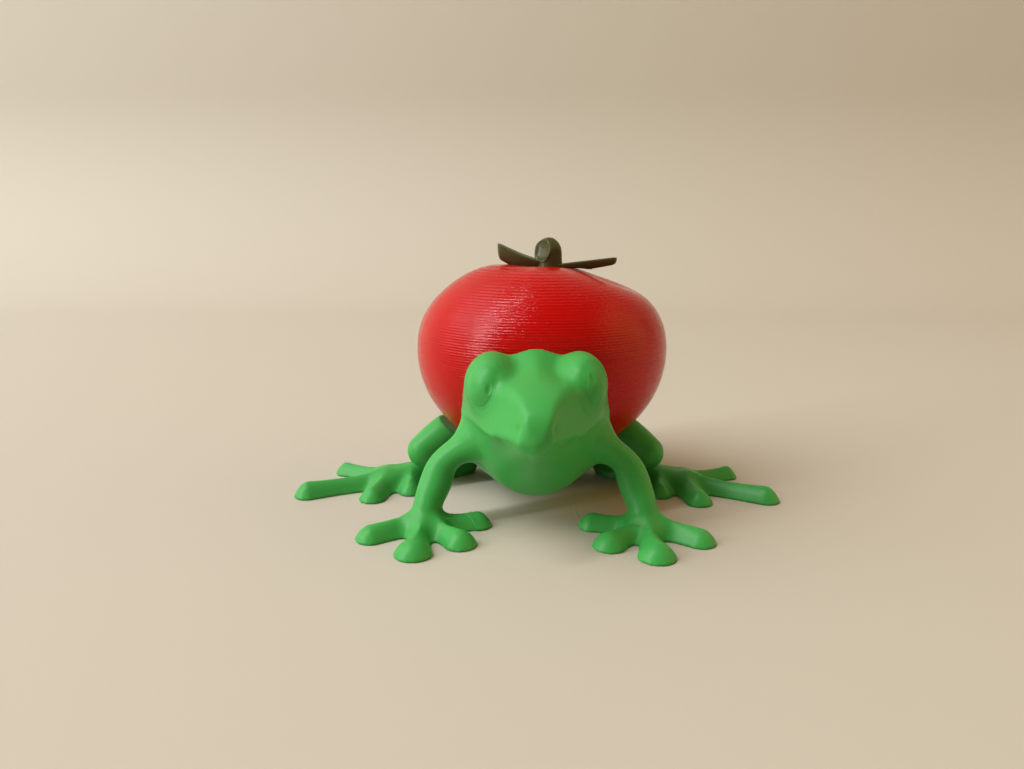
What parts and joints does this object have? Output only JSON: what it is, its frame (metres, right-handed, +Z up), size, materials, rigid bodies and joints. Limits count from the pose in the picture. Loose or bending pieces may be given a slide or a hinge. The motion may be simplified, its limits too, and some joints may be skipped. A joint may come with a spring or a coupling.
{
  "type": "toy tomato frog, printed plastic",
  "caption": "Small printed plastic toy: a green frog with splayed toes that carries a red tomato with a dark green calyx as its back.",
  "frame": {"origin": "on the floor under the middle of the toy's box", "axes": "+Z up, the frog faces -Y, +X is the frog's left"},
  "size_m": [0.0602, 0.0424, 0.0316],
  "materials": {
    "green_plastic": "satin printed plastic with faint layer lines",
    "red_plastic": "satin to glossy printed plastic with fine level layer lines",
    "dark_green_plastic": "semi-gloss dark olive green printed plastic"
  },
  "bodies": {
    "root": {"head": "green_plastic", "trunk": "green_plastic", "eye_left": "green_plastic", "upper_arm_left": "green_plastic", "forearm_left": "green_plastic", "hand_left": "green_plastic", "thigh_left": "green_plastic", "shank_left": "green_plastic", "foot_left": "green_plastic", "eye_right": "green_plastic", "upper_arm_right": "green_plastic", "forearm_right": "green_plastic", "hand_right": "green_plastic", "thigh_right": "green_plastic", "shank_right": "green_plastic", "foot_right": "green_plastic", "tomato": "red_plastic", "calyx": "dark_green_plastic", "stem": "dark_green_plastic"}
  },
  "joints": []
}
